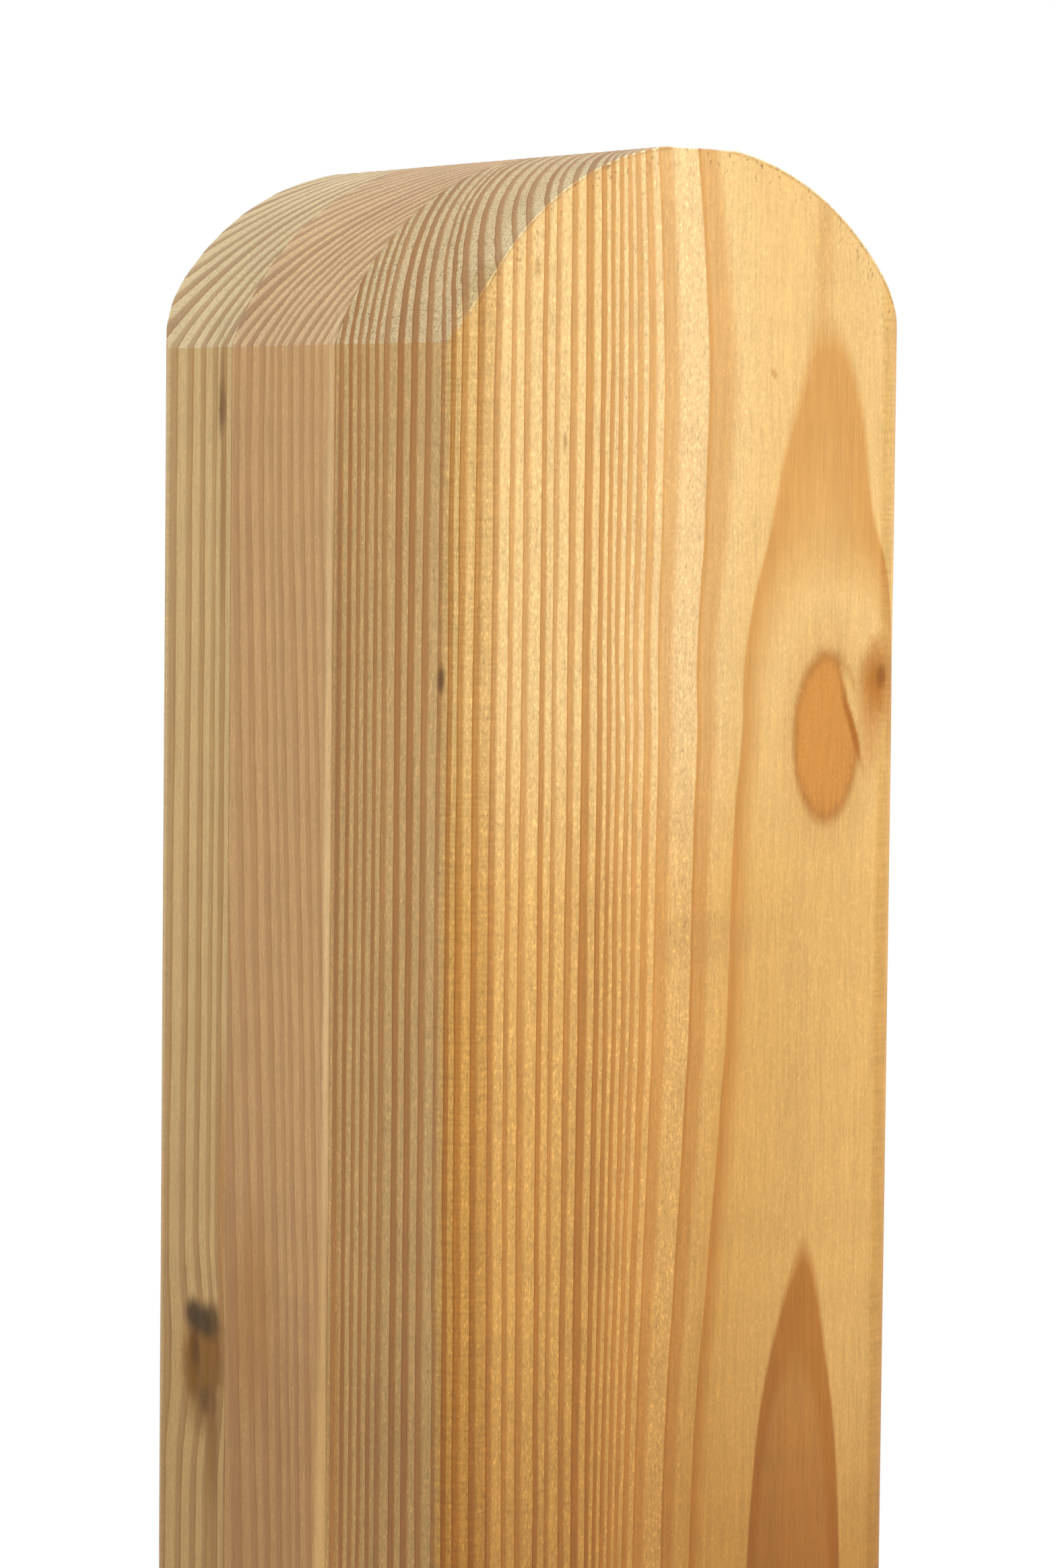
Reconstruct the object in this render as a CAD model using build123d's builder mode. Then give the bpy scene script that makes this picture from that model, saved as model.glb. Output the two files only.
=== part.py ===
from build123d import *
import math
import os

# A square porch post with a rounded head, glued up from three softwood boards.
# Millimetres, +Z up. The origin is the centre of the foot.
# -Y is the front face and X runs across it. The boards lie one behind the other along Y.

# Planed section and length of the finished post
post_width = 90.0
post_depth = 90.0
post_height = 1000.0
edge_radius = 6.5  # the four long edges, rounded by the planer before the head is cut

# Boards: the front one is the thickest, the back one fills the rest of the depth
front_board_thickness = 35.0
middle_board_thickness = 30.0
back_board_thickness = post_depth - front_board_thickness - middle_board_thickness
front_glue_y = front_board_thickness - post_depth / 2
back_glue_y = front_glue_y + middle_board_thickness

# Head: one arch across the width, with a narrow flat left along its crown
crown_width = 14.0
crease_drop = 30.8  # from the crown down to where the arch runs out into the sides
crease_height = post_height - crease_drop
half_span_difference = (post_width**2 - crown_width**2) / 4
arch_centre_drop = (half_span_difference + crease_drop**2) / (2 * crease_drop)
head_radius = math.hypot(crown_width / 2, arch_centre_drop)

# Front view of the whole post, from the square foot to the arched head.
# All boards are cut to it together, so their outlines meet all the way round each glue line.
with BuildSketch(Plane.XZ) as front_view:
    with BuildLine() as outline:
        foot = Line((0, 0), (post_width / 2, 0))
        side = Line(foot @ 1, (post_width / 2, crease_height))
        arch = RadiusArc(side @ 1, (crown_width / 2, post_height), -head_radius)
        crown = Line(arch @ 1, (0, post_height))
        mirror(about=Plane.YZ)
    make_face()

# Front board, with the two rounded edges beside the front face
with BuildPart() as front_lamella:
    with BuildSketch() as front_section:
        with Locations((0, front_glue_y)):
            Rectangle(post_width, front_board_thickness, align=(Align.CENTER, Align.MAX))
        fillet(front_section.vertices().group_by(Axis.Y)[0], edge_radius)
    extrude(amount=post_height)
    extrude(front_view.sketch, amount=post_depth / 2, both=True, mode=Mode.INTERSECT)

# Middle board, square all round because both its wide faces are glued
with BuildPart() as middle_lamella:
    with BuildSketch() as middle_section:
        with Locations((0, front_glue_y)):
            Rectangle(post_width, middle_board_thickness, align=(Align.CENTER, Align.MIN))
    extrude(amount=post_height)
    extrude(front_view.sketch, amount=post_depth / 2, both=True, mode=Mode.INTERSECT)

# Back board, with the two rounded edges beside the back face
with BuildPart() as back_lamella:
    with BuildSketch() as back_section:
        with Locations((0, back_glue_y)):
            Rectangle(post_width, back_board_thickness, align=(Align.CENTER, Align.MIN))
        fillet(back_section.vertices().group_by(Axis.Y)[-1], edge_radius)
    extrude(amount=post_height)
    extrude(front_view.sketch, amount=post_depth / 2, both=True, mode=Mode.INTERSECT)

os.makedirs("parts", exist_ok=True)
front_lamella.part.label = "front_lamella"
export_step(front_lamella.part, "parts/front_lamella.step")
middle_lamella.part.label = "middle_lamella"
export_step(middle_lamella.part, "parts/middle_lamella.step")
back_lamella.part.label = "back_lamella"
export_step(back_lamella.part, "parts/back_lamella.step")

print(f"head radius {head_radius:.2f} mm, glue lines at y {front_glue_y:.1f} and {back_glue_y:.1f} mm")
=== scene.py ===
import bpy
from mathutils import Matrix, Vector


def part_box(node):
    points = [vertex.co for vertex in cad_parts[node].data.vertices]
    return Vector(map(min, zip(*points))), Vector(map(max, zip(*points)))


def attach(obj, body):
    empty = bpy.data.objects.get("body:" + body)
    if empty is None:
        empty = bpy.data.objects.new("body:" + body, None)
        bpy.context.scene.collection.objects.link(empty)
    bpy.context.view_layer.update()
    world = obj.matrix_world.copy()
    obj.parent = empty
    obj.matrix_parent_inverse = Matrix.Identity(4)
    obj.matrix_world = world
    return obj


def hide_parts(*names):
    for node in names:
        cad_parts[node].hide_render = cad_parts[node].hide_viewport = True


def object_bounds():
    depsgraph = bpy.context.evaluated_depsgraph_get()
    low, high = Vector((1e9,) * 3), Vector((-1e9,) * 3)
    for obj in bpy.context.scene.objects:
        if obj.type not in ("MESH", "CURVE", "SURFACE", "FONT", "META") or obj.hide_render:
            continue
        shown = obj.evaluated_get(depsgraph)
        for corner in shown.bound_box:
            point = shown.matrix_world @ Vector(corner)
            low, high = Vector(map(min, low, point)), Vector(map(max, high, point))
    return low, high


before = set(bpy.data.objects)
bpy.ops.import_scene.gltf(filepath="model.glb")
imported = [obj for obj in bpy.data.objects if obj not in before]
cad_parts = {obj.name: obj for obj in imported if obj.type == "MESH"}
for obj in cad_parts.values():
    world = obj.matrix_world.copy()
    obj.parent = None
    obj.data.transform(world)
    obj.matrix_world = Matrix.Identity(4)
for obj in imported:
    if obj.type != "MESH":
        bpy.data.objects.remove(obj)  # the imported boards, in metres, standing on z = 0
cadBox = [list(corner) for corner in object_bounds()]

import math

import bmesh
import bpy
from mathutils import Matrix, Vector

print("Frame loaded:", sorted(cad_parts))

mm = 0.001  # Blender works in metres, timber in millimetres
postWidth = (cadBox[1][0] - cadBox[0][0]) / mm
postHeight = cadBox[1][2] / mm

# The whole post, as it was planed and cut. Millimetres.
post = {
    "edgeRadius": 6.5,     # long edges, rounded by the planer
    "crownWidth": 14.0,    # flat left along the top of the arch
    "creaseDrop": 30.8,    # the arch runs out into the sides this far below the crown
    "rowBias": 1.8,        # above 1 the mesh rows crowd towards the head
    "sharpAngle": 14.0,    # degrees; the crease and the sawn edges stay crisp
    "reliefDepth": 0.07,   # soft earlywood planes this much lower than hard latewood
    "knotHollow": 0.12,    # knots shrink a little below the face
    # darker going down, by mm below the crown: painted shade for the lamps' falloff under the head, and
    # uneven tone further down
    "toneAndShadeDown": [(0, 0), (60, 0.12), (110, 0.3), (160, 0.5), (190, 0.78), (215, 1), (300, 0.9), (520, 0.7),
             (760, 1), (1000, 0.8)],
    "deepTint": "#DCD3C2",  # the tint where that painted shade and tone are full
}

# the arch's circle follows from the crown and the crease
squaresApart = (postWidth ** 2 - post["crownWidth"] ** 2) / 4  # of half the width and half the crown
archDrop = (squaresApart + post["creaseDrop"] ** 2) / (2 * post["creaseDrop"])
archCentre = postHeight - archDrop
archRadius = math.hypot(post["crownWidth"] / 2, archDrop)

# Growth runs from the pith outwards: (rings, ring width in mm, share of it that is dark latewood).
# The pith is a line beside the board: (mm below the crown, x, y). Rings out to the first bendFade
# radius follow its bends, rings beyond the second run straight past "straight".
# Knots are branches: "at" is x, y and mm below the crown, "lean" the way the branch grows,
# "size" its radius, "tall" how much it is drawn out along the grain, "soft" how blurred its edge is,
# "ragged" how uneven and "skin" how dark. Rings inside the first "calm" radius wander least.
# Stains are blots of resin, bark and dirt: x, y and mm below the crown, and size. "slant" leans one
# across the front face, by so many mm sideways for each mm down.
frontBoard = {
    "node": "front_lamella",
    "slot": "front_board",
    "name": "larchFrontBoard",
    "seed": 3,
    "cell": 0.45,
    "rows": 170,
    "roundFront": True,
    "roundBack": False,
    "pith": [(0, 20.5, -83.3), (18, 25, -82.78), (24.5, 25.8, -82.74), (30, 26.4, -82.67),
             (37.5, 26.8, -82.55), (46, 26.6, -82.38), (57, 26.3, -82.1), (69, 26.4, -81.1),
             (93, 29.7, -78.4), (120, 30.5, -76.5), (150, 28.7, -76.2), (180, 25.4, -75.63),
             (220, 22.2, -74.1), (300, 21, -73), (420, 27, -77), (560, 20, -71), (700, 24, -75),
             (860, 19, -70), (1000, 22, -67)],
    "straight": (25, -78.5),
    "bendFade": (33, 67),
    "ovalX": 0.93,
    "calm": (40, 52),
    "core": 8.0,
    "growth": [(3, 5.8, 0.35), (1, 5.6, 0.36), (1, 7.0, 0.2), (2, 4.0, 0.42), (1, 1.7, 0.45), (5, 1.1, 0.48),
               (4, 2.1, 0.42), (5, 2.4, 0.4), (2, 1.4, 0.45), (4, 2.2, 0.44), (30, 1.65, 0.46)],
    # the widest rings have colours of their own: their share by distance from the pith
    "widest": [(8, 0), (31.2, 0), (31.6, 1), (49, 1), (53, 0)],
    "earlyWidest": "#E1BC83",
    "lateWidest": "#C58E45",
    "knots": [
        {"at": (27.5, -45, 93), "lean": (0.0, 1.0, 0.3), "size": 7.1, "tall": 1.95, "reach": 16,
         "swell": 0.3, "soft": 0.22, "ragged": 0.1, "skin": 0.35, "wood": "#BF8034"},
        {"at": (37.8, -45, 84.5), "lean": (0.5, 0.8, 0.3), "size": 2.3, "tall": 2.4, "reach": 12,
         "swell": 1.0, "soft": 1.5, "ragged": 0.6, "skin": 0.0, "wood": "#A2620F"},
        {"at": (-16, -45, 455), "lean": (-0.6, 0.8, 0.3), "size": 7.5, "tall": 1.7, "reach": 26,
         "swell": 2.4, "soft": 0.2, "ragged": 0.25, "skin": 0.6, "wood": "#A8702F"},
        {"at": (22, -45, 742), "lean": (0.1, 1.0, 0.3), "size": 5.0, "tall": 1.9, "reach": 20, "swell": 1.8,
         "soft": 0.3, "ragged": 0.25, "skin": 0.5, "wood": "#B0762F"},
    ],
    "stains": [
        {"at": (32.8, -45, 87), "size": (1.4, 3, 7), "slant": 0.33, "colour": "#CDA35F", "share": 1.0},
        {"at": (32.8, -45, 91), "size": (0.8, 3, 8.5), "slant": 0.33, "colour": "#9A5800", "share": 0.9},
        {"at": (25.8, -45, 15), "size": (2.2, 3, 12), "colour": "#C08A48", "share": 0.4},
        {"at": (39.2, -45, 83.6), "size": (1.3, 4, 2.2), "colour": "#7E4800", "share": 0.75},
        {"at": (37, -45, 92), "size": (2.4, 3, 8), "colour": "#B97F3C", "share": 0.6},
        {"at": (41.4, -43.5, 89), "size": (1.6, 3, 9), "colour": "#B0742F", "share": 0.5},
        {"at": (4, -45, 124), "size": (13, 3, 5), "colour": "#A87B42", "share": 0.28},
        {"at": (-45, -12.1, 200), "size": (4, 1.6, 60), "colour": "#B17835", "share": 0.65},
        {"at": (-45, -11.3, 100), "size": (4, 0.9, 90), "colour": "#A56C33", "share": 0.6},
        {"at": (15.5, -45, 35), "size": (0.7, 2, 1.0), "colour": "#A8702F", "share": 0.5},
        {"at": (-31.5, -45, 19.5), "size": (0.8, 2, 2.0), "colour": "#9A6424", "share": 0.4},
        {"at": (-45, -39.3, 82), "size": (2.5, 0.9, 2.4), "colour": "#5A3208", "share": 0.8},
        {"at": (-26, -45, 46), "size": (0.5, 2, 1.6), "colour": "#8A5A20", "share": 0.5},
    ],
    "early": "#DEB97C",       # pale springwood of the narrow outer rings
    "earlyInner": "#D9B16F",  # the same near the pith
    "late": "#B2782C",        # brown latewood
    "goldRadius": (38, 42),   # the radius where the one gives way to the other
    "torn": 1.0,              # how strongly the planer has torn the springwood's fibres
    # tints multiply red, green and blue
    "sawnLate": (0.92, 0.93, 1.16),  # end grain is paler and greyer
    "sawnEarly": (1.16, 1.36, 1.84),
    "shadedSideTint": (0.95, 0.91, 0.87),  # painted shade on the springwood of the side away from the key lamp
    "shadedSideLate": (0.95, 0.84, 0.74),  # latewood there
    "edgeTint": (0.87, 0.81, 0.67),  # the rounded edges beside the front face
    "edgeHighlightOuter": (1.1, 1.06, 0.96),  # and a painted highlight where they turn into the side
    # the front face's painted shade for the key lamp's falloff, darker going down: its tint by mm below the
    # crown on the left, and the right's share of it
    "frontShade": [(0, "#FFFFFF"), (60, "#FDFBF8"), (87, "#FAF7F3"), (118, "#EEDEBC"), (149, "#E5D1A9"),
               (180, "#DBC599"), (217, "#C9AE7E"), (300, "#CBB589"), (520, "#D9C59C"), (760, "#CBB589"),
               (1000, "#D5C196")],
    "frontShadeRight": 0.6,
    "leftToRight": (-12, 37),    # x over which left becomes right
    "evenBelow": (190, 245),     # from here down the right is as dark as the left
    "sideToFront": (-38.5, -42),  # y over which the side's colour gives way to the front's
    "edgeToFront": (-39.0, -40.5),
    "edgeTurns": (41.0, 43.2),   # x over which the rounded edge turns into the side
}

middleBoard = {
    "node": "middle_lamella",
    "slot": "middle_board",
    "name": "larchMiddleBoard",
    "seed": 11,
    "cell": 0.42,
    "rows": 170,
    "roundFront": False,
    "roundBack": False,
    "pith": [(0, 42, 68), (45, 42, 68), (80, 42, 66.8), (147, 42, 63.6), (217, 42, 60.5), (330, 42, 57),
             (600, 40, 53), (1000, 44, 50)],
    "straight": (42, 68),
    "bendFade": (500, 600),
    "ovalX": 1.0,
    "calm": (0, 1),
    "core": 40.0,
    "growth": [(22, 2.64, 0.42), (3, 2.0, 0.45), (2, 1.6, 0.48), (2, 2.0, 0.45), (30, 1.65, 0.48)],
    "knots": [
        {"at": (-45, 4, 560), "lean": (-0.8, -0.55, 0.3), "size": 5.5, "tall": 1.6, "reach": 22,
         "swell": 2.4, "soft": 0.25, "ragged": 0.25, "skin": 0.6, "wood": "#A87442"},
        {"at": (45, 4, 380), "lean": (0.9, -0.4, 0.3), "size": 4.6, "tall": 1.6, "reach": 18, "swell": 2.0,
         "soft": 0.25, "ragged": 0.25, "skin": 0.5, "wood": "#A87442"},
    ],
    "stains": [
        {"at": (-45, -8.9, 95), "size": (4, 1.1, 105), "colour": "#F0C88C", "share": 0.9},
        {"at": (-45, -8.4, 232), "size": (4, 1.9, 62), "colour": "#DBAE6C", "share": 0.9},
        {"at": (-45, 12, 188), "size": (4, 7, 18), "colour": "#AC7430", "share": 0.45},
    ],
    "early": "#DCAF77",
    "earlyInner": "#DCAF77",
    "late": "#C5935B",
    "goldRadius": (0, 1),
    "sawnLate": (0.88, 0.88, 1.1),
    "sawnEarly": (1.17, 1.33, 1.66),
    "torn": 0.45,
}

backBoard = {
    "node": "back_lamella",
    "slot": "back_board",
    "name": "larchBackBoard",
    "seed": 29,
    "cell": 0.5,
    "rows": 165,
    "roundFront": False,
    "roundBack": True,
    "pith": [(0, -7.5, 61), (300, -6, 61), (620, -2, 64), (1000, -8, 59)],
    "straight": (-7.5, 61),
    "bendFade": (500, 600),
    "ovalX": 1.0,
    "calm": (0, 1),
    "core": 8.0,
    "growth": [(4, 4.4, 0.34), (5, 3.25, 0.38), (3, 2.75, 0.42), (30, 2.2, 0.45)],
    "knots": [
        {"at": (-45, 26.6, 198.5), "lean": (-0.73, -0.68, 0.25), "size": 4.4, "tall": 1.6, "reach": 15,
         "swell": 1.5, "soft": 0.6, "ragged": 0.5, "skin": 0.2, "wood": "#8A5A10"},
        {"at": (14, 45, 330), "lean": (0.8, -0.6, 0.3), "size": 7.0, "tall": 1.8, "reach": 24, "swell": 2.2,
         "soft": 0.25, "ragged": 0.25, "skin": 0.6, "wood": "#9A6E39"},
        {"at": (-24, 45, 690), "lean": (-0.7, -0.6, 0.3), "size": 5.0, "tall": 1.8, "reach": 20,
         "swell": 1.8, "soft": 0.2, "ragged": 0.25, "skin": 0.9, "wood": "#8F6534"},
    ],
    "stains": [
        {"at": (-45, 29.8, 191.8), "size": (4, 3.0, 3.2), "colour": "#452800", "share": 0.92},
        {"at": (-45, 24, 191.8), "size": (4, 3.4, 3.4), "colour": "#5A3B00", "share": 0.88},
        {"at": (-45, 27, 192.2), "size": (4, 3.2, 3.2), "colour": "#453000", "share": 0.85},
        {"at": (-45, 29.4, 198), "size": (4, 1.7, 4.5), "colour": "#5F3A00", "share": 0.8},
        {"at": (-45, 25.4, 205.6), "size": (4, 3.0, 2.8), "colour": "#4A2E00", "share": 0.92},
        {"at": (-45, 30.2, 203), "size": (4, 2.3, 3.8), "colour": "#865500", "share": 0.5},
        {"at": (-45, 27, 206), "size": (4, 5.5, 6.5), "colour": "#7E5618", "share": 0.6},
        {"at": (-45, 23.9, 212), "size": (4, 1.9, 11), "colour": "#7A4600", "share": 0.75},
        {"at": (-45, 24.4, 224), "size": (4, 1.8, 22), "colour": "#A17438", "share": 0.6},
        {"at": (-45, 21.2, 172), "size": (4, 1.5, 26), "colour": "#B57C3D", "share": 0.65},
        {"at": (-45, 22.9, 41), "size": (5, 1.3, 5.0), "colour": "#6A4000", "share": 0.85},
        {"at": (-45, 22.8, 35), "size": (5, 0.8, 6.0), "colour": "#966C26", "share": 0.6},
        {"at": (-45, 22.5, 56), "size": (5, 1.0, 22), "colour": "#A97A3A", "share": 0.6},
    ],
    "early": "#E0BD83",
    "earlyInner": "#E0BD83",
    "late": "#BC8F52",
    "goldRadius": (0, 1),
    "sawnLate": (0.98, 1.06, 1.5),
    "sawnEarly": (1.17, 1.33, 1.66),
    "torn": 0.45,
}

boards = [frontBoard, middleBoard, backBoard]

# The wood's figure, the same in all boards. Sizes are (across the grain, along it) in mm.
figure = {
    "slowBends": (24, 230),      # rings wander slowly over these distances
    "slowSwing": 1.8,            # and so far in all, in mm
    "quickBends": (2.6, 26),
    "quickSwing": 0.4,
    "calmest": 0.15,             # share of the quick wander left in the widest rings
    "unevenRings": 0.3,          # how far one ring's width may differ from the next
    "lateEnd": 1.06,             # latewood counts back from here, as a share of the ring
    "lateEarlier": 0.12,         # and in a good year it starts this much earlier
    "lateStart": (0.16, 0.08),   # it sets in over this share, before and after its start
    "lateDeepens": (0.86, 0.94, 0.8, 1.15),  # from the first share to the second it grows this much darker
    "ringEnd": 0.97,             # and stops between here and the ring's outer edge
    "lateLuck": (0.75, 0.3),     # weakest latewood, and how much more a good year adds
    "fibre": (0.4, 9.0),
    "fibreSwing": 0.42,          # how much fibres lighten and darken the wood
    "tone": (14, 120),
    "toneSwing": 0.3,
    "bandsPerMm": 0.12,          # faint bands across the post
    "bandSwing": 0.1,
    "pore": (0.32, 0.75),
    "poreSwing": 0.4,
    "pits": (0.42, 0.3),         # pore noise from here down is a fibre that the planer tore out
    "pitDepth": 0.2,
    "glints": (0.56, 0.7),       # and from here up a painted glint off a fibre that it left standing
    "glintLight": 0.4,
    "ripplesPerMm": (0.16, 0.16, 1.7),  # the planer's marks across the rounded edges
    "rippleSheenSwing": 0.4,
    "openPore": 0.34,            # sawn ends show the fibres' open ends
    "ragged": (2.5, 5.0),        # uneven outlines of knots and stains
    "stainWobble": (0.7, 0.7, 1.2),
    "stainFade": (1.3, 0.3),     # a stain starts and is full at these shares of its size
}

# What knots have in common; depths are shares of the knot's radius
knotLook = {
    "halo": "#B88440",  # wood that darkens towards a knot
    "haloReach": 0.7,
    "haloShare": 0.3,
    "skin": "#6E4318",
    "skinDepth": 0.15,
}

# Dirt in torn grain below the arch, and in a thin line along its sharp edge. Millimetres.
dirt = {
    "colour": "#7A5424",
    "down": 8,                # reaches this far below the crease
    "faces": (43.5, 44.7),    # only on the front and back, which lie 45 from the middle
    "speckSize": (0.55, 0.8),
    "specks": (0.68, 0.76, 0.6),  # noise where a speck starts and is full, and how dark it is
    "specksDepth": 6.0,
    "line": (0.35, 0.6, 0.5),
    "lineDepth": 0.9,
}

# How the planed surface takes the light
surface = {
    "roughSpring": 0.62,
    "roughLate": 0.48,       # hard latewood planes smoother
    "ior": 1.5,
    "sheen": 0.3,            # open pores leave little
    "bumpStrength": 0.6,
    "bumpHeight": 0.05,      # mm
    "rippleHeight": 1.5,     # against that of pores and fibres
}
white = (1, 1, 1, 1)


def add(tree, kind, inputs=(), **settings):
    # one node with its settings; inputs are linked or filled; its outputs come back
    node = tree.nodes.new(kind)
    for setting, value in settings.items():
        setattr(node, setting, value)
    pairs = inputs.items() if isinstance(inputs, dict) else enumerate(inputs)
    for key, value in pairs:
        if isinstance(value, bpy.types.NodeSocket):
            tree.links.new(value, node.inputs[key])
        else:
            node.inputs[key].default_value = value
    return node.outputs


def maths(tree, operation, *inputs):
    return add(tree, "ShaderNodeMath", inputs, operation=operation)[0]


def vectorMaths(tree, operation, *inputs):
    return add(tree, "ShaderNodeVectorMath", inputs, operation=operation)[0]


def scaled(tree, vector, factor):
    return add(tree, "ShaderNodeVectorMath", {0: vector, 3: factor}, operation="SCALE")[0]


def length(tree, vector):
    return add(tree, "ShaderNodeVectorMath", [vector], operation="LENGTH")[1]


def separate(tree, vector):
    return add(tree, "ShaderNodeSeparateXYZ", [vector])


def multiply(tree, first, second):
    return vectorMaths(tree, "MULTIPLY", first, second)


def ramp(tree, value, start, end, low=0.0, high=1.0, blend="LINEAR"):
    # low at start, high at end, and held beyond them
    return add(tree, "ShaderNodeMapRange", {"Value": value, "From Min": start, "From Max": end,
                                            "To Min": low, "To Max": high}, interpolation_type=blend)[0]


def smooth(tree, value, start, end, high=1.0):
    return ramp(tree, value, start, end, 0.0, high, "SMOOTHSTEP")


def mixColour(tree, share, first, second):
    return add(tree, "ShaderNodeMix", {0: share, 6: first, 7: second}, data_type="RGBA")[2]


def linear(hexColour):
    # sRGB hex to the linear colour that shaders work in
    channels = [int(hexColour[start:start + 2], 16) / 255 for start in (1, 3, 5)]
    return [c / 12.92 if c <= 0.04045 else ((c + 0.055) / 1.055) ** 2.4 for c in channels] + [1.0]


def opaque(tint):
    return (*tint, 1)


def alongLine(tree, value, points, handle="AUTO"):
    # the result read off a line through a few (value, result) points
    lowIn, highIn = points[0][0], points[-1][0]
    lowOut = min(result for _, result in points)
    highOut = max(result for _, result in points)
    span = max(highOut - lowOut, 1e-6)
    read = add(tree, "ShaderNodeFloatCurve", {"Value": ramp(tree, value, lowIn, highIn)})[0]
    mapping = read.node.mapping
    line = mapping.curves[0]
    shares = [((a - lowIn) / (highIn - lowIn), (b - lowOut) / span) for a, b in points]
    line.points[0].location = shares[0]
    line.points[1].location = shares[-1]
    for spot in shares[1:-1]:
        line.points.new(*spot)
    for point in line.points:
        point.handle_type = handle
    mapping.update()
    return ramp(tree, read, 0.0, 1.0, lowOut, highOut)


def colourStops(tree, value, stops):
    # colours by mm below the crown, as a colour ramp over the post's length
    read = add(tree, "ShaderNodeValToRGB", {"Fac": maths(tree, "MULTIPLY", value, 1 / postHeight)})[0]
    colours = read.node.color_ramp
    while len(colours.elements) < len(stops):
        colours.elements.new(0.5)
    for element, (drop, hexColour) in zip(colours.elements, stops):
        element.position = drop / postHeight
        element.color = linear(hexColour)
    return read


def grainNoise(tree, place, across, along, **inputs):
    # noise drawn out along the grain: across and along are its sizes in mm
    size = multiply(tree, place, (1 / across, 1 / across, 1 / along))
    return add(tree, "ShaderNodeTexNoise", {"Vector": size, "Scale": 1.0, **inputs})


def wander(tree, place, sizes, swing):
    # a shift of up to half the swing each way, in mm
    noise = grainNoise(tree, place, *sizes, Detail=1.0)["Color"]
    return vectorMaths(tree, "MULTIPLY_ADD", noise, [swing] * 3, [-swing / 2] * 3)


def knotDistance(tree, place, knot):
    # distance from the branch's axis, in mm, with the branch taller than wide
    x, y, drop = knot["at"]
    squash = Vector((1, 1, 1 / knot["tall"]))
    lean = (Vector(knot["lean"]) * squash).normalized()
    away = vectorMaths(tree, "SUBTRACT", place, (x, y, postHeight - drop))
    return length(tree, vectorMaths(tree, "CROSS_PRODUCT", multiply(tree, away, squash), lean))


def ringRadius(tree, place, drop, board):
    # distance from the pith in mm, the way the rings see it
    z = separate(tree, place)[2]
    pithX = alongLine(tree, drop, [(d, x) for d, x, y in board["pith"]])
    pithY = alongLine(tree, drop, [(d, y) for d, x, y in board["pith"]])
    bent = add(tree, "ShaderNodeCombineXYZ", [pithX, pithY, z])[0]
    straight = add(tree, "ShaderNodeCombineXYZ", [*board["straight"], z])[0]
    oval = (board["ovalX"], 1, 0)
    fromStraight = vectorMaths(tree, "SUBTRACT", place, straight)
    radius = length(tree, multiply(tree, fromStraight, oval))
    inner, outer = board["bendFade"]
    follow = maths(tree, "POWER", ramp(tree, radius, outer, inner), 3.0)
    bend = scaled(tree, vectorMaths(tree, "SUBTRACT", bent, straight), follow)

    # no ring is quite true, but the widest run smooth
    shifted = vectorMaths(tree, "ADD", place, (board["seed"] * 37.0, 0, 0))
    slow = wander(tree, shifted, figure["slowBends"], figure["slowSwing"])
    quick = wander(tree, shifted, figure["quickBends"], figure["quickSwing"])
    nearest, furthest = board["calm"]
    quick = scaled(tree, quick, ramp(tree, radius, nearest, furthest, figure["calmest"]))
    away = vectorMaths(tree, "SUBTRACT", fromStraight, bend)
    away = vectorMaths(tree, "ADD", away, vectorMaths(tree, "ADD", slow, quick))
    return length(tree, multiply(tree, away, oval))


def ringField(tree, place, board):
    # The growth rings run through the whole board, so relief and colour both read them here.
    # place is in mm. Gives latewood (0 to 1, a little more in good years), radius and drop in mm,
    # and how deep inside each knot.
    drop = maths(tree, "SUBTRACT", postHeight, separate(tree, place)[2])
    radius = ringRadius(tree, place, drop, board)
    knotDepths = []  # 1 on the branch's axis, 0 at its skin, less outside
    for knot in board["knots"]:
        across = knotDistance(tree, place, knot)
        swell = ramp(tree, across, knot["reach"], 0.0, 0.0, knot["swell"], "SMOOTHERSTEP")
        radius = maths(tree, "SUBTRACT", radius, swell)
        knotDepths.append(maths(tree, "MULTIPLY_ADD", across, -1 / knot["size"], 1.0))

    # count the rings outwards; the whole number names the ring, the rest is the season
    radii, shares = [(board["core"], 0.0)], []
    reached, counted = board["core"], 0
    for rings, width, lateShare in board["growth"]:
        shares += [(reached + 0.05, lateShare), (reached + rings * width - 0.05, lateShare)]
        reached += rings * width
        counted += rings
        radii.append((reached, counted))
    count = alongLine(tree, radius, radii, "VECTOR")
    lateShare = alongLine(tree, radius, shares, "VECTOR")
    uneven = add(tree, "ShaderNodeTexNoise", {"W": count, "Scale": 0.8, "Detail": 1.0},
                 noise_dimensions="1D")[0]
    uneven = maths(tree, "SUBTRACT", uneven, 0.5)
    count = maths(tree, "MULTIPLY_ADD", uneven, figure["unevenRings"], count)
    season = maths(tree, "FRACT", count)
    name = maths(tree, "ADD", maths(tree, "FLOOR", count), board["seed"] * 100.0)
    luck = add(tree, "ShaderNodeTexWhiteNoise", {"W": name}, noise_dimensions="1D")[0]

    # latewood darkens slowly through the season and stops dead at the ring's outer edge
    before, after = figure["lateStart"]
    weakest, more = figure["lateLuck"]
    start = maths(tree, "SUBTRACT", figure["lateEnd"], lateShare)
    start = maths(tree, "MULTIPLY_ADD", luck, -figure["lateEarlier"], start)
    late = ramp(tree, season, maths(tree, "SUBTRACT", start, before), maths(tree, "ADD", start, after),
                blend="SMOOTHSTEP")
    deepen = ramp(tree, season, *figure["lateDeepens"])
    fall = ramp(tree, season, figure["ringEnd"], 1.0, 1.0, 0.0)
    strength = maths(tree, "MULTIPLY_ADD", luck, more, weakest)
    for share in (deepen, fall, strength):
        late = maths(tree, "MULTIPLY", late, share)
    return {"late": late, "radius": radius, "drop": drop, "knots": knotDepths}


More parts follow.
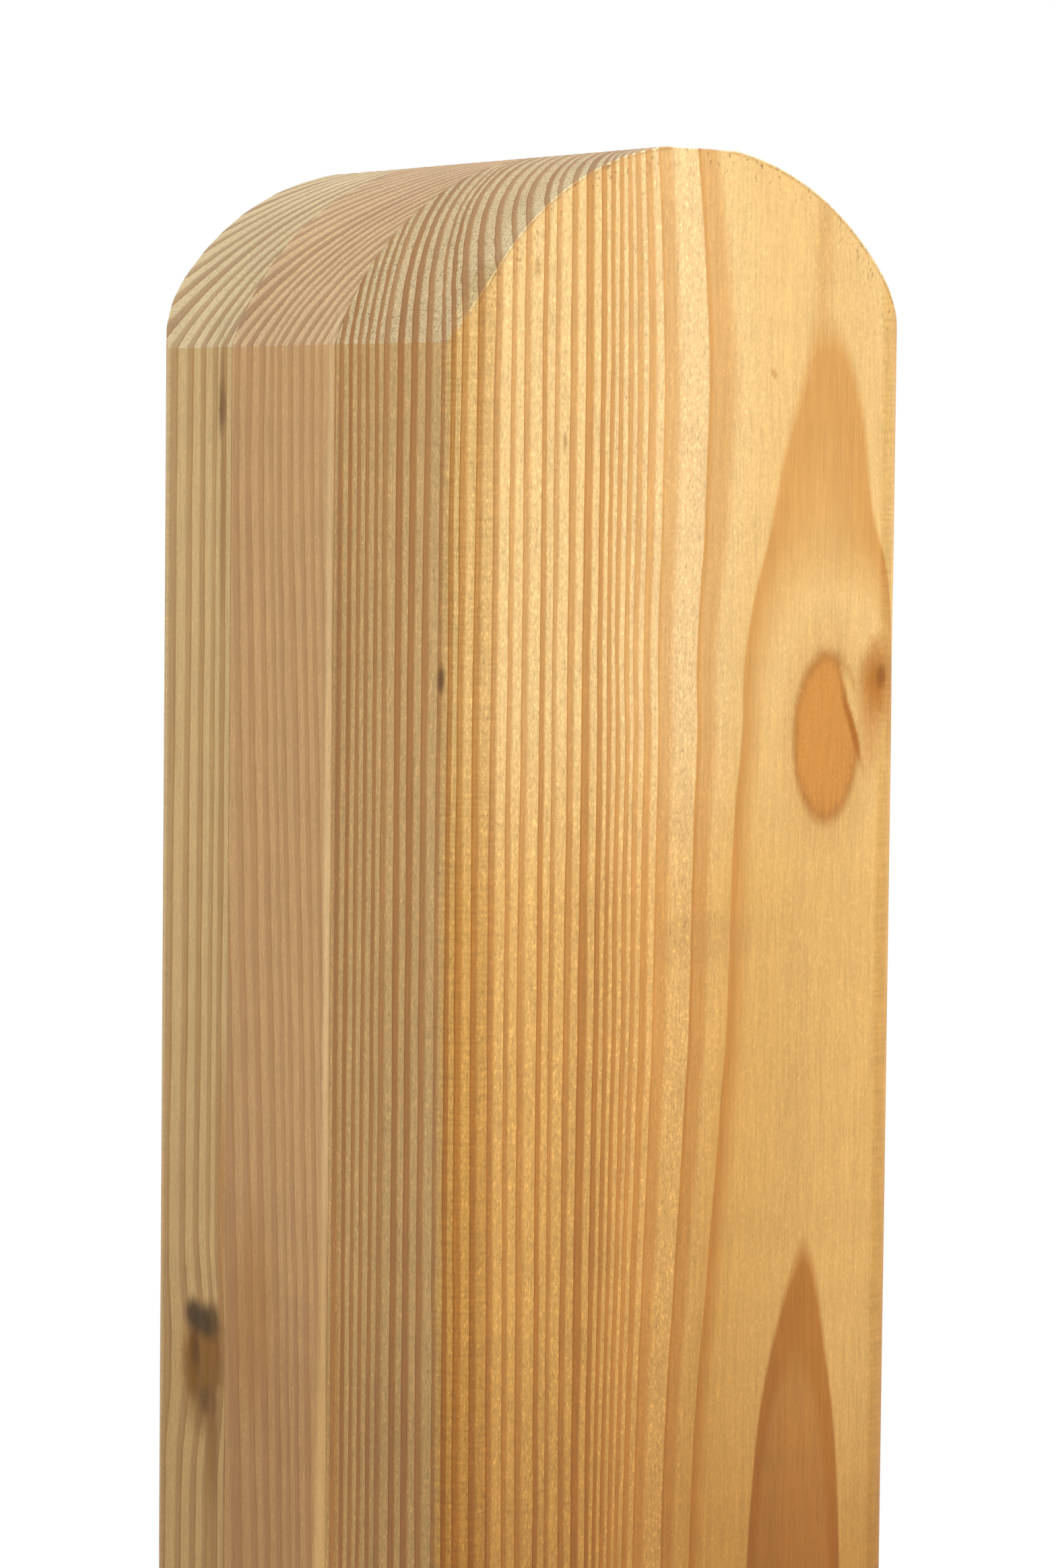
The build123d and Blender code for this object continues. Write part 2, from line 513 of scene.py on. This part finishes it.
def edgeShare(tree, place):
    # 1 on the rounded long edges, 0 on the flat faces, turning over 1.4 mm
    x, y, _ = separate(tree, place)
    corner = postWidth / 2 - post["edgeRadius"]
    nearest = maths(tree, "MINIMUM", maths(tree, "ABSOLUTE", x), maths(tree, "ABSOLUTE", y))
    return smooth(tree, nearest, corner - 0.6, corner + 0.8)


def ringColour(tree, board, field, outerShare):
    # pale springwood and brown latewood, more golden in the wide rings near the pith
    early, late = linear(board["early"]), linear(board["late"])
    if "widest" in board:
        widest = alongLine(tree, field["radius"], board["widest"], "VECTOR")
        early = mixColour(tree, widest, early, linear(board["earlyWidest"]))
        late = mixColour(tree, widest, late, linear(board["lateWidest"]))
    early = mixColour(tree, outerShare, linear(board["earlyInner"]), early)
    return mixColour(tree, field["late"], early, late)


def paintedLightTint(tree, board, place, field, edge):
    # painted light and shade: below the pale head the wood is darker going down, a painted shade for the
    # lamps' falloff, most of all on the front face
    toneAndShadeDown = alongLine(tree, field["drop"], post["toneAndShadeDown"])
    tint = mixColour(tree, toneAndShadeDown, white, linear(post["deepTint"]))
    if "frontShade" not in board:
        return tint
    x, y, _ = separate(tree, place)
    # the side away from the key lamp gets a painted shade
    side = mixColour(tree, field["late"], opaque(board["shadedSideTint"]), opaque(board["shadedSideLate"]))
    tint = multiply(tree, tint, side)
    # the front face: painted shade for the key lamp's falloff, darker going down, less on its right
    frontShade = colourStops(tree, field["drop"], board["frontShade"])
    start, end = board["evenBelow"]
    rightShare = smooth(tree, x, *board["leftToRight"], 1 - board["frontShadeRight"])
    rightShare = maths(tree, "MULTIPLY", rightShare, smooth(tree, field["drop"], end, start))
    frontShade = mixColour(tree, rightShare, frontShade, white)
    tint = mixColour(tree, smooth(tree, y, *board["sideToFront"]), tint, frontShade)
    # the rounded edges: a browner tint beside the front face and a painted highlight where they turn into
    # the side
    turned = smooth(tree, maths(tree, "ABSOLUTE", x), *board["edgeTurns"])
    edgeTint = mixColour(tree, turned, opaque(board["edgeTint"]), opaque(board["edgeHighlightOuter"]))
    paintedEdgeShare = maths(tree, "MULTIPLY", edge, smooth(tree, y, *board["edgeToFront"]))
    return multiply(tree, tint, mixColour(tree, paintedEdgeShare, white, edgeTint))


def withKnots(tree, board, wood, wobble, depths):
    # darker and redder, with a dark skin and a ragged outline
    raggedness = separate(tree, wobble)[0]
    for knot, depth in zip(board["knots"], depths):
        blur = knot["soft"]
        depth = maths(tree, "MULTIPLY_ADD", raggedness, knot["ragged"], depth)
        halo = smooth(tree, depth, -knotLook["haloReach"], 0.0, knotLook["haloShare"])
        wood = mixColour(tree, halo, wood, linear(knotLook["halo"]))
        skin = smooth(tree, depth, knotLook["skinDepth"] + blur / 2, 0.0, knot["skin"])
        knotWood = mixColour(tree, skin, linear(knot["wood"]), linear(knotLook["skin"]))
        wood = mixColour(tree, smooth(tree, depth, -blur / 2, blur / 2), wood, knotWood)
    return wood


def withStains(tree, board, wood, wobble, place):
    # each blot fades out from its centre
    shifted = vectorMaths(tree, "MULTIPLY_ADD", wobble, figure["stainWobble"], place)
    for stain in board["stains"]:
        x, y, drop = stain["at"]
        away = vectorMaths(tree, "SUBTRACT", shifted, (x, y, postHeight - drop))
        if "slant" in stain:
            away = add(tree, "ShaderNodeVectorRotate", {"Vector": away, "Angle": math.atan(stain["slant"])},
                       rotation_type="Y_AXIS")[0]
        away = length(tree, multiply(tree, away, [1 / side for side in stain["size"]]))
        blot = smooth(tree, away, *figure["stainFade"], stain["share"])
        wood = mixColour(tree, blot, wood, linear(stain["colour"]))
    return wood


def grainRipple(tree, place):
    size = multiply(tree, place, figure["ripplesPerMm"])
    return add(tree, "ShaderNodeTexNoise", {"Vector": size, "Scale": 1.0, "Detail": 2.0})["Fac"]


def fineGrain(tree, board, place, soft, outerShare, edge):
    # fibres and pores: fine streaks along the grain, strongest in the soft springwood
    # gives how much lighter or darker the wood is, and the noises that the bump uses too
    fibre = grainNoise(tree, place, *figure["fibre"], Detail=2.0, Roughness=0.6)["Fac"]
    pore = grainNoise(tree, place, *figure["pore"], Detail=2.0, Roughness=0.7)["Fac"]
    tone = grainNoise(tree, place, *figure["tone"], Detail=2.0)["Fac"]
    band = add(tree, "ShaderNodeTexNoise", {"W": separate(tree, place)[2], "Scale": figure["bandsPerMm"],
                                            "Detail": 2.0}, noise_dimensions="1D")[0]
    ripple = grainRipple(tree, place)
    ripple = maths(tree, "MULTIPLY", maths(tree, "SUBTRACT", ripple, 0.5), edge)

    torn = maths(tree, "MULTIPLY_ADD", outerShare, 0.6 * board["torn"], 0.4 * board["torn"])
    torn = maths(tree, "MULTIPLY", torn, maths(tree, "MULTIPLY_ADD", soft, 0.8, 0.2))
    pit = smooth(tree, pore, *figure["pits"], figure["pitDepth"])
    # bright flecks in torn springwood: painted glints
    glint = smooth(tree, pore, *figure["glints"], figure["glintLight"])
    light = maths(tree, "SUBTRACT", glint, pit)
    light = maths(tree, "MULTIPLY_ADD", pore, figure["poreSwing"], light)
    light = maths(tree, "SUBTRACT", light, figure["poreSwing"] / 2)
    light = maths(tree, "MULTIPLY_ADD", light, torn, 1.0)
    for value, swing in ((fibre, figure["fibreSwing"]), (tone, figure["toneSwing"]),
                         (band, figure["bandSwing"])):
        light = maths(tree, "MULTIPLY_ADD", value, swing, light)
        light = maths(tree, "SUBTRACT", light, swing / 2)
    # the planer's ripples also streak the rounded edges lighter and darker: a painted sheen
    light = maths(tree, "MULTIPLY_ADD", ripple, figure["rippleSheenSwing"], light)
    return light, fibre, pore, ripple


def archDistance(tree, place):
    # how far a point lies from the axis of the arch, in mm
    x, _, z = separate(tree, place)
    fromAxis = add(tree, "ShaderNodeCombineXYZ", [x, 0.0, maths(tree, "SUBTRACT", z, archCentre)])[0]
    return length(tree, fromAxis)


def sawnShare(tree, place, reach):
    # 1 where the saw went across the grain: the arch, the crown and the foot
    # the limits, in mm, lie a little deeper than the relief
    z = separate(tree, place)[2]
    arch = ramp(tree, reach, archRadius - 0.35, archRadius - 0.15)
    above = maths(tree, "GREATER_THAN", z, postHeight - post["creaseDrop"] - 0.3)
    arch = maths(tree, "MULTIPLY", arch, above)
    crown = ramp(tree, z, postHeight - 0.3, postHeight - 0.15)
    foot = ramp(tree, z, 0.3, 0.15)
    return maths(tree, "MAXIMUM", maths(tree, "MAXIMUM", arch, crown), foot)


def sawnWood(tree, board, wood, place, soft):
    # end grain: paler, greyer and more open
    bleach = mixColour(tree, soft, opaque(board["sawnLate"]), opaque(board["sawnEarly"]))
    size = figure["openPore"]
    hole = grainNoise(tree, place, size, size, Detail=1.0)["Fac"]
    hole = smooth(tree, hole, *figure["pits"], 0.6 * board["torn"])
    hole = maths(tree, "MULTIPLY", hole, soft)
    return scaled(tree, multiply(tree, wood, bleach), maths(tree, "SUBTRACT", 1.0, hole))


def withDirt(tree, wood, place, fibre, reach):
    _, y, z = separate(tree, place)
    crease = postHeight - post["creaseDrop"]
    nearHead = maths(tree, "MULTIPLY", smooth(tree, z, crease - dirt["down"], crease),
                     smooth(tree, maths(tree, "ABSOLUTE", y), *dirt["faces"]))
    speck = grainNoise(tree, place, *dirt["speckSize"], Detail=0.0)["Fac"]
    specks, line = smooth(tree, speck, *dirt["specks"]), smooth(tree, fibre, *dirt["line"])
    for share, depth in ((specks, dirt["specksDepth"]), (line, dirt["lineDepth"])):
        rim = smooth(tree, reach, archRadius - depth, archRadius - 0.2)
        share = maths(tree, "MULTIPLY", maths(tree, "MULTIPLY", share, rim), nearHead)
        wood = mixColour(tree, share, wood, linear(dirt["colour"]))
    return wood


def boardMaterial(board):
    # Planed bare larch: matt cellulose with a low sheen, IOR of wood about 1.5.
    # The rings come from ringField; fibres and pores are drawn to the size of real tracheids.
    material = bpy.data.materials.new(board["name"])
    material.use_nodes = True
    tree = material.node_tree
    shader = tree.nodes["Principled BSDF"]
    place = multiply(tree, add(tree, "ShaderNodeTexCoord")["Object"], (1 / mm, 1 / mm, 1 / mm))
    field = ringField(tree, place, board)
    soft = maths(tree, "SUBTRACT", 1.0, field["late"])
    edge = edgeShare(tree, place)
    outerShare = ramp(tree, field["radius"], *board["goldRadius"])

    wood = multiply(tree, ringColour(tree, board, field, outerShare),
                    paintedLightTint(tree, board, place, field, edge))
    wobble = grainNoise(tree, place, *figure["ragged"], Detail=2.0)["Color"]
    wobble = vectorMaths(tree, "SUBTRACT", wobble, (0.5, 0.5, 0.5))
    wood = withKnots(tree, board, wood, wobble, field["knots"])
    wood = withStains(tree, board, wood, wobble, place)
    light, fibre, pore, ripple = fineGrain(tree, board, place, soft, outerShare, edge)
    wood = scaled(tree, wood, light)
    reach = archDistance(tree, place)
    bleached = sawnWood(tree, board, wood, place, soft)
    wood = withDirt(tree, wood, place, fibre, reach)
    wood = mixColour(tree, sawnShare(tree, place, reach), wood, bleached)
    tree.links.new(wood, shader.inputs["Base Color"])

    rough = ramp(tree, field["late"], 0.0, 1.0, surface["roughSpring"], surface["roughLate"])
    tree.links.new(rough, shader.inputs["Roughness"])
    shader.inputs["IOR"].default_value = surface["ior"]
    shader.inputs["Specular IOR Level"].default_value = surface["sheen"]

    # relief too fine for the mesh: pores, fibres and the planer's ripples
    height = maths(tree, "MULTIPLY_ADD", ripple, surface["rippleHeight"], maths(tree, "ADD", pore, fibre))
    bump = add(tree, "ShaderNodeBump", {"Strength": surface["bumpStrength"], "Height": height,
                                        "Distance": surface["bumpHeight"] * mm})[0]
    tree.links.new(bump, shader.inputs["Normal"])
    return material


def roundedPlace(tree, place, given):
    # a square corner is drawn in to a quarter circle along the outer long edges
    x, y, z = separate(tree, place)
    sizeX, sizeY, _ = separate(tree, given["Size"])
    centreY = separate(tree, given["Centre"])[1]
    flatX = maths(tree, "SUBTRACT", maths(tree, "MULTIPLY", sizeX, 0.5), given["Edge Radius"])
    lowY = maths(tree, "ADD", maths(tree, "MULTIPLY_ADD", sizeY, -0.5, centreY), given["Front Radius"])
    highY = maths(tree, "SUBTRACT", maths(tree, "MULTIPLY_ADD", sizeY, 0.5, centreY), given["Back Radius"])
    innerX = add(tree, "ShaderNodeClamp", {"Value": x, "Min": maths(tree, "MULTIPLY", flatX, -1.0),
                                           "Max": flatX})[0]
    innerY = add(tree, "ShaderNodeClamp", {"Value": y, "Min": lowY, "Max": highY})[0]
    inner = add(tree, "ShaderNodeCombineXYZ", [innerX, innerY, z])[0]
    out = vectorMaths(tree, "SUBTRACT", place, inner)
    outX, outY, _ = separate(tree, vectorMaths(tree, "ABSOLUTE", out))
    square = maths(tree, "MAXIMUM", outX, outY)
    far = maths(tree, "MAXIMUM", length(tree, out), 1e-6)
    return vectorMaths(tree, "ADD", inner, scaled(tree, out, maths(tree, "DIVIDE", square, far)))


def archedPlace(tree, place, given):
    # each column of cells ends on the arch or on the flat crown
    x, y, z = separate(tree, place)
    sizeZ = separate(tree, given["Size"])[2]
    archSquare = maths(tree, "POWER", given["Arch Radius"], 2.0)
    rise = maths(tree, "SQRT", maths(tree, "SUBTRACT", archSquare, maths(tree, "MULTIPLY", x, x)))
    top = maths(tree, "MINIMUM", maths(tree, "ADD", rise, given["Arch Centre"]), sizeZ)
    below = maths(tree, "SUBTRACT", 1.0, maths(tree, "DIVIDE", z, sizeZ))
    below = maths(tree, "POWER", maths(tree, "MAXIMUM", below, 0.0), given["Row Bias"])
    height = maths(tree, "MULTIPLY", maths(tree, "SUBTRACT", 1.0, below), top)
    return add(tree, "ShaderNodeCombineXYZ", [x, y, height])[0]


def ringRelief(tree, board, given):
    # soft earlywood lies lower, knots have shrunk, and nothing stands proud
    field = ringField(tree, add(tree, "GeometryNodeInputPosition")[0], board)
    soft = maths(tree, "MAXIMUM", maths(tree, "SUBTRACT", 1.0, field["late"]), 0.0)
    sunk = maths(tree, "MULTIPLY", soft, given["Relief"])
    for depth in field["knots"]:
        hollow = smooth(tree, depth, 0.0, 0.5)
        sunk = maths(tree, "MULTIPLY_ADD", hollow, given["Knot Hollow"], sunk)
    normal = add(tree, "GeometryNodeInputNormal")[0]
    return scaled(tree, normal, maths(tree, "MULTIPLY", sunk, -1.0))


def boardTree(board, material):
    # a block of cells, bent to the board's section, cut to the arch and planed into its rings
    tree = bpy.data.node_groups.new(board["name"] + "Shape", "GeometryNodeTree")
    face = tree.interface
    face.new_socket("Geometry", in_out="OUTPUT", socket_type="NodeSocketGeometry")
    kinds = {
        "Vector": ["Size", "Centre"],
        "Float": ["Edge Radius", "Front Radius", "Back Radius", "Arch Radius", "Arch Centre", "Row Bias",
                  "Relief", "Knot Hollow"],
        "Int": ["Cells X", "Cells Y", "Rows"],
    }
    for kind, labels in kinds.items():
        for label in labels:
            face.new_socket(label, in_out="INPUT", socket_type="NodeSocket" + kind)
    given = add(tree, "NodeGroupInput")

    # everything works in mm, up to the last move back to metres
    block = add(tree, "GeometryNodeMeshCube", {"Size": given["Size"], "Vertices X": given["Cells X"],
                                               "Vertices Y": given["Cells Y"],
                                               "Vertices Z": given["Rows"]})["Mesh"]
    place = vectorMaths(tree, "ADD", add(tree, "GeometryNodeInputPosition")[0], given["Centre"])
    place = archedPlace(tree, roundedPlace(tree, place, given), given)
    block = add(tree, "GeometryNodeSetPosition", {"Geometry": block, "Position": place})[0]
    relief = ringRelief(tree, board, given)
    block = add(tree, "GeometryNodeSetPosition", {"Geometry": block, "Offset": relief})[0]
    metres = scaled(tree, add(tree, "GeometryNodeInputPosition")[0], mm)
    block = add(tree, "GeometryNodeSetPosition", {"Geometry": block, "Position": metres})[0]
    block = add(tree, "GeometryNodeSetShadeSmooth", {"Geometry": block, "Shade Smooth": True})[0]
    block = add(tree, "GeometryNodeRealizeInstances", {"Geometry": block})[0]
    block = add(tree, "GeometryNodeSetMaterial", {"Geometry": block, "Material": material})[0]
    add(tree, "NodeGroupOutput", {"Geometry": block})
    return tree


def gluedFaces(mesh, heights):
    # a glued face is never seen, so its cells, within 0.2 mm of the glue line, become one flat face
    work = bmesh.new()
    work.from_mesh(mesh)
    for y in heights:
        cells = [f for f in work.faces if all(abs(v.co.y - y) < 0.2 * mm for v in f.verts)
                 and abs(f.normal.y) > 0.9]
        bmesh.ops.delete(work, geom=cells, context="FACES")
        rim = [e for e in work.edges if e.is_boundary]
        bmesh.ops.contextual_create(work, geom=rim)
    bmesh.ops.recalc_face_normals(work, faces=work.faces)
    work.to_mesh(mesh)
    work.free()


def makeBoard(board):
    material = boardMaterial(board)
    low, high = [Vector(corner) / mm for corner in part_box(board["node"])]
    size = high - low
    settings = {
        "Size": size,
        "Centre": (low + high) / 2,
        "Edge Radius": post["edgeRadius"],
        "Front Radius": post["edgeRadius"] * board["roundFront"],
        "Back Radius": post["edgeRadius"] * board["roundBack"],
        "Arch Radius": archRadius,
        "Arch Centre": archCentre,
        "Row Bias": post["rowBias"],
        "Relief": post["reliefDepth"],
        "Knot Hollow": post["knotHollow"],
        "Cells X": round(size.x / board["cell"]),
        "Cells Y": round(size.y / board["cell"]),
        "Rows": board["rows"],
    }
    holder = bpy.data.objects.new(board["name"] + "Holder", bpy.data.meshes.new("empty"))
    bpy.context.scene.collection.objects.link(holder)
    modifier = holder.modifiers.new("shape", "NODES")
    modifier.node_group = boardTree(board, material)
    for item in modifier.node_group.interface.items_tree:
        if item.in_out == "INPUT":
            modifier[item.identifier] = settings[item.name]
    shape = holder.evaluated_get(bpy.context.evaluated_depsgraph_get())
    mesh = bpy.data.meshes.new_from_object(shape)
    bpy.data.objects.remove(holder)

    glued = [y for y, rounded in ((low.y, board["roundFront"]), (high.y, board["roundBack"])) if not rounded]
    gluedFaces(mesh, [y * mm for y in glued])
    mesh.set_sharp_from_angle(angle=math.radians(post["sharpAngle"]))
    piece = bpy.data.objects.new(board["name"], mesh)
    bpy.context.scene.collection.objects.link(piece)
    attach(piece, "root")
    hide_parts(board["node"])
    print("Board made:", board["name"], len(mesh.polygons), "faces")


for board in boards:
    makeBoard(board)

# Stage: a pale round floor under soft light
stage = {
    "floorRadius": 2.5,
    "floorColour": "#EDEBE7",
    "floorLift": 0.12,     # seen by the camera only, so the floor meets the white behind it
    "skyStrength": 0.8,
    "keyPower": 2.45,
    "keySize": 0.3,
    "keyFrom": (0.14, -0.66, 1.07),
}


def makeStage():
    bpy.ops.mesh.primitive_circle_add(vertices=96, radius=stage["floorRadius"], fill_type="NGON")
    floor = bpy.context.object
    floor.name = "floor"
    paint = bpy.data.materials.new("paleFloorPaint")
    paint.use_nodes = True
    tree = paint.node_tree
    shader = tree.nodes["Principled BSDF"]
    shader.inputs["Base Color"].default_value = linear(stage["floorColour"])
    shader.inputs["Roughness"].default_value = 0.9
    rays = add(tree, "ShaderNodeLightPath")
    lift = maths(tree, "MULTIPLY", rays["Is Camera Ray"], stage["floorLift"])
    glow = add(tree, "ShaderNodeEmission", {"Color": white, "Strength": lift})[0]
    both = add(tree, "ShaderNodeAddShader", [shader.outputs[0], glow])[0]
    tree.links.new(both, tree.nodes["Material Output"].inputs["Surface"])
    floor.data.materials.append(paint)

    world = bpy.data.worlds.new("studio")
    bpy.context.scene.world = world
    world.use_nodes = True
    tree = world.node_tree
    rays = add(tree, "ShaderNodeLightPath")
    seen = maths(tree, "MAXIMUM", rays["Is Camera Ray"], rays["Is Glossy Ray"])
    seen = maths(tree, "MAXIMUM", seen, rays["Is Transmission Ray"])
    sky = add(tree, "ShaderNodeBackground", {"Color": white, "Strength": stage["skyStrength"]})[0]
    backdrop = add(tree, "ShaderNodeBackground", {"Color": white, "Strength": 1.0})[0]
    mixed = add(tree, "ShaderNodeMixShader", [seen, sky, backdrop])[0]
    tree.links.new(mixed, tree.nodes["World Output"].inputs["Surface"])

    lamp = bpy.data.lights.new("keyLamp", "AREA")
    lamp.energy = stage["keyPower"]
    lamp.size = stage["keySize"]
    key = bpy.data.objects.new("keyLamp", lamp)
    key.location = stage["keyFrom"]
    aim = Vector((0, 0, postHeight * mm)) - key.location
    key.rotation_euler = aim.to_track_quat("-Z", "Y").to_euler()
    bpy.context.scene.collection.objects.link(key)


makeStage()
print("Stage made")

# Camera: stands left of and in front of the post, just below its head
view = {
    "place": (-0.39406, -0.52908, 0.95383),
    "yaw": 0.6411,          # radians, turned from +Y towards +X
    "pitch": -0.0463,
    "roll": 0.0104,
    "focalPixels": 5908.7,  # in a frame 2329 pixels tall
    "framePixels": 2329,
    "shiftDown": 0.1,
}


def makeCamera():
    lens = bpy.data.cameras.new("camera")
    lens.sensor_width = 36.0
    lens.lens = view["focalPixels"] / view["framePixels"] * lens.sensor_width
    lens.shift_y = -view["shiftDown"]
    lens.clip_start = 0.01
    yaw, pitch, roll = view["yaw"], view["pitch"], view["roll"]
    forward = Vector((math.sin(yaw) * math.cos(pitch), math.cos(yaw) * math.cos(pitch), math.sin(pitch)))
    level = Vector((math.cos(yaw), -math.sin(yaw), 0))
    upright = level.cross(forward)
    right = level * math.cos(roll) + upright * math.sin(roll)
    up = upright * math.cos(roll) - level * math.sin(roll)
    camera = bpy.data.objects.new("camera", lens)
    turn = Matrix((right, up, -forward)).transposed().to_4x4()
    camera.matrix_world = Matrix.Translation(view["place"]) @ turn
    bpy.context.scene.collection.objects.link(camera)
    bpy.context.scene.camera = camera


makeCamera()
bpy.context.scene.view_settings.view_transform = "Standard"
print("Camera set")
